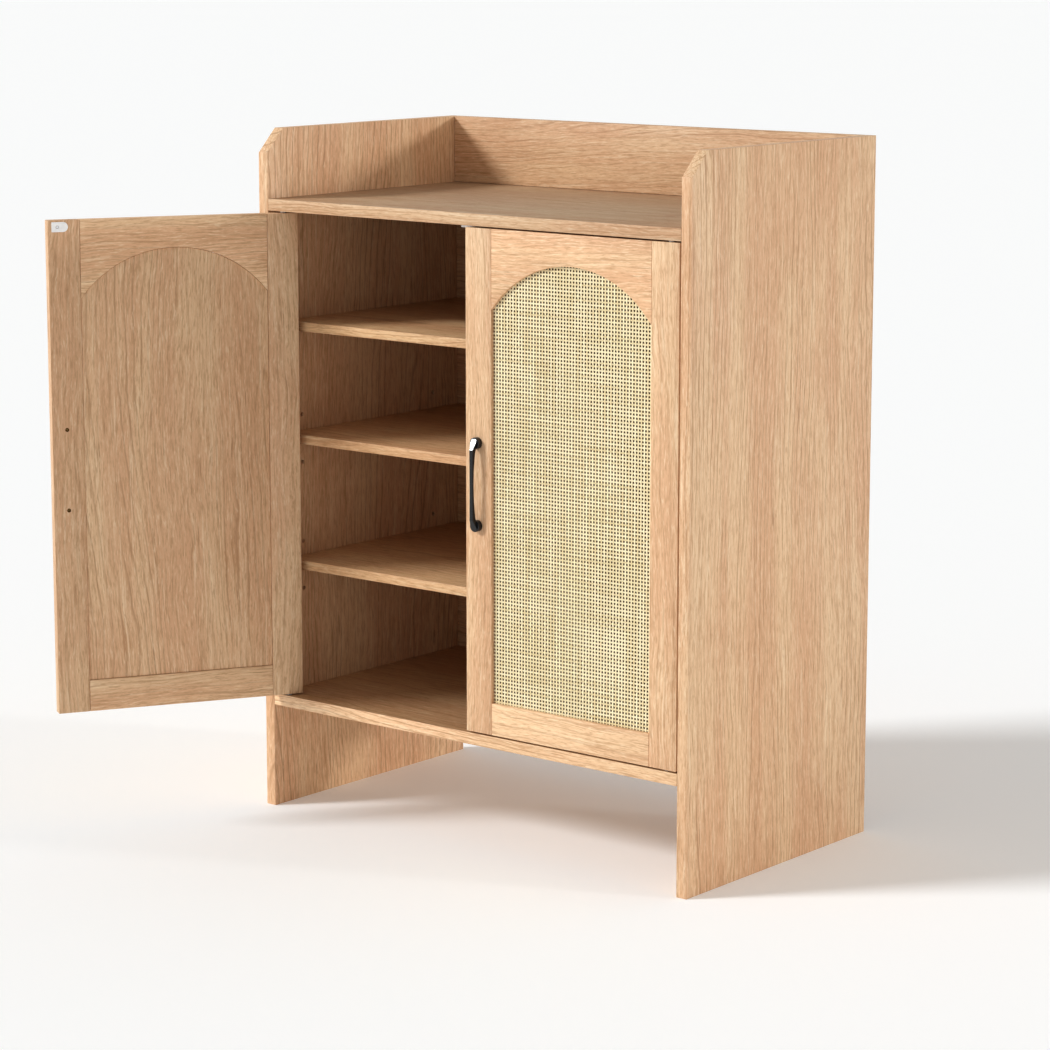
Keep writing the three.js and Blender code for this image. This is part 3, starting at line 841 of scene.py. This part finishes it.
# %% Put a handle on each door
for side in SIDES:
    handle = make_handle(f"door_{side}_handle_bow")
    dress(handle, enamel)
    on_door(handle, side, handle_along, handle_depth, handle_height)
    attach(handle, f"door_{side}")
    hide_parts(f"door_{side}_handle")
    print(f"{side} handle faces:", len(handle.data.polygons))

# %% [markdown]
# ## Small fittings
# The strike plates, the catch, the pivot pins, their bushes and the screws already have
# their true shapes. The strike plates, the catch and the handle screws get eased edges;
# the plastic ones get a soft white finish, the strike plates' screws a bright zinc, and the
# other screws a yellow passivated steel with fine turning marks.

# %% Finishes for the fittings
def speckled(name, first, second, scale, roughness, metallic=0.0):
    material, tree, shader = new_material(name)
    grain = noise(tree, mapped_place(tree, "Scale", scale), 3.0)
    tree.links.new(blend_colours(tree, grain, first, second), shader.inputs["Base Color"])
    tree.links.new(remap(tree, grain, 0.3, 0.7, *roughness), shader.inputs["Roughness"])
    shader.inputs["Metallic"].default_value = metallic
    return material


FINE = (1500, 1500, 1500)
COARSE = (700, 700, 700)
ALONG_THE_DOWEL = (60, 500, 500)
plastic = speckled(
    "white plastic", (0.92, 0.92, 0.92), (0.87, 0.87, 0.86), COARSE, (0.34, 0.46),
)
steel = speckled(
    "yellow steel", (0.62, 0.47, 0.20), (0.45, 0.33, 0.15), FINE, (0.25, 0.45), metallic=1.0,
)
zinc = speckled(
    "bright zinc", (0.86, 0.87, 0.88), (0.72, 0.73, 0.75), FINE, (0.25, 0.4), metallic=0.8,
)
beech = speckled(
    "beech", (0.66, 0.47, 0.28), (0.52, 0.35, 0.19), ALONG_THE_DOWEL, (0.55, 0.7),
)

# %% [markdown]
# A handle screw is seen from inside the door as a small round head. Every face at the
# head's end is inset and pushed in, which darkens it as a driver recess would. The rim is
# wider than those faces, so they fold through each other: this serves at a distance, and
# isn't a clean recess.

# %% Recess in a screw head
RECESS_RIM = 0.0011
RECESS_DEPTH = 0.0008
HEAD_BAND = 0.0001                  # the head's face lies this near the screw's end


def recess_heads(piece, side):
    inwards = Matrix.Rotation(door_turn[side], 3, "Z") @ Vector((0, 1, 0))
    edit(piece)
    reach = max(vert.co.dot(inwards) for vert in bmesh.from_edit_mesh(piece.data).verts)
    heads = pick(piece, faces=lambda face: (
        face.normal.dot(inwards) > 0.9
        and face.calc_center_median().dot(inwards) > reach - HEAD_BAND
    ))
    bpy.ops.mesh.inset(thickness=RECESS_RIM, use_individual=True)
    bpy.ops.mesh.extrude_region_move(
        TRANSFORM_OT_translate={"value": -RECESS_DEPTH * inwards},
    )
    leave()
    print(piece.name, "heads recessed:", heads)


# %% Dress the fittings
FITTING_EASE = 0.0003
FITTING_SHORTEST = 0.0006
TO_EASE = ("strike_plate", "door_catch", "handle_screw")
finishes = {"white_plastic": plastic, "steel": steel, "beech": beech}
dressed = {"eased": 0, "kept": 0}
for body, members in frame["record"]["behaviour"]["bodies"].items():
    for node in members:
        if slots[node] not in finishes:
            continue
        finish = zinc if "strike_screw" in node else finishes[slots[node]]
        if any(label in node for label in TO_EASE):
            piece = eased(node, finish, body, FITTING_EASE, FITTING_SHORTEST)
            if "handle_screw" in node:
                recess_heads(piece, body.removeprefix("door_"))
            dressed["eased"] += 1
        else:
            dress(frame["nodes"][node], finish)
            dressed["kept"] += 1
print("fittings:", dressed)

# %% [markdown]
# ## Studio
# The cabinet stands on a plain pale floor, which glows a little, like the lit-from-below
# tables that goods are shown on. A broad key light comes from the front left,
# a third of the way up, and throws soft shadows to the right. A lower light from the
# right and slightly behind brightens the side panel, and a white surround fills the rest.

# %% Floor
FLOOR_SIZE = 300.0
PAPER = 0.94
FLOOR_GLOW = 0.1
bpy.ops.object.select_all(action="DESELECT")
bpy.ops.mesh.primitive_plane_add(size=FLOOR_SIZE, location=(middle_x, middle_y, 0))
floor = bpy.context.object
floor.name = "floor"
paper, paper_tree, paper_shader = new_material("pale floor")
paper_shader.inputs["Base Color"].default_value = (PAPER, PAPER, PAPER, 1)
paper_shader.inputs["Emission Color"].default_value = (1, 1, 1, 1)
paper_shader.inputs["Emission Strength"].default_value = FLOOR_GLOW
paper_shader.inputs["Roughness"].default_value = 0.9
paper_shader.inputs["Specular IOR Level"].default_value = 0.1
dress(floor, paper)
floor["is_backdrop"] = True

# %% Lights
def sun(name, towards, strength, softness, colour=(1, 1, 1)):
    """A far light whose rays travel in the given direction."""
    lamp = bpy.data.lights.new(name, "SUN")
    lamp.energy = strength
    lamp.angle = math.radians(softness)
    lamp.color = colour
    obj = bpy.data.objects.new(name, lamp)
    obj.rotation_euler = Vector(towards).to_track_quat("-Z", "Y").to_euler()
    bpy.context.scene.collection.objects.link(obj)


SKY_COLOUR = (1, 0.985, 0.96, 1)
SKY_LOW = 0.75                      # strength at the horizon
SKY_HIGH = 0.42                     # and overhead
KEY_COLOUR = (0.96, 1.0, 1.03)
VIEW_GAMMA = 0.87                   # a little more contrast in the shadows
sun("key", towards=(0.9, 1.0, -0.8), strength=2.3, softness=13, colour=KEY_COLOUR)
sun("side", towards=(-2.3, -1.0, -0.367), strength=0.9, softness=5)
world = bpy.data.worlds.new("studio")
bpy.context.scene.world = world
world.use_nodes = True
backdrop = world.node_tree.nodes["Background"]
backdrop.inputs["Color"].default_value = SKY_COLOUR
sky_place = add(world.node_tree, "ShaderNodeTexCoord").outputs["Generated"]
sky_axes = add(world.node_tree, "ShaderNodeSeparateXYZ")
world.node_tree.links.new(sky_place, sky_axes.inputs[0])
sky = remap(world.node_tree, sky_axes.outputs["Z"], 0.0, 1.0, SKY_LOW, SKY_HIGH)
world.node_tree.links.new(sky, backdrop.inputs["Strength"])
bpy.context.scene.view_settings.view_transform = "Standard"
bpy.context.scene.view_settings.gamma = VIEW_GAMMA

# %% Camera
CAMERA_FROM_MIDDLE = (2.5317, -3.1864, 1.132)
CAMERA_YAW = math.radians(39.12)
CAMERA_PITCH = math.radians(9.51)
LENS_MM = 111.74
SENSOR_MM = 36
SHIFT = -0.05
FAR = 200
lens = bpy.data.cameras.new("camera")
lens.lens = LENS_MM
lens.sensor_width = SENSOR_MM
lens.shift_y = SHIFT
lens.clip_end = FAR
camera = bpy.data.objects.new("camera", lens)
camera.location = Vector((middle_x, middle_y, 0)) + Vector(CAMERA_FROM_MIDDLE)
camera.rotation_euler = (math.pi / 2 - CAMERA_PITCH, 0, CAMERA_YAW)
bpy.context.scene.collection.objects.link(camera)
bpy.context.scene.camera = camera

# %% Print the sizes of the frame and of the dressed scene
look_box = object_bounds()
boxes = {
    "cad": [list(corner) for corner in frame_box],
    "visual": [list(corner) for corner in look_box],
}
for name, corners in boxes.items():
    print(name, "box:", [[round(value, 4) for value in corner] for corner in corners])
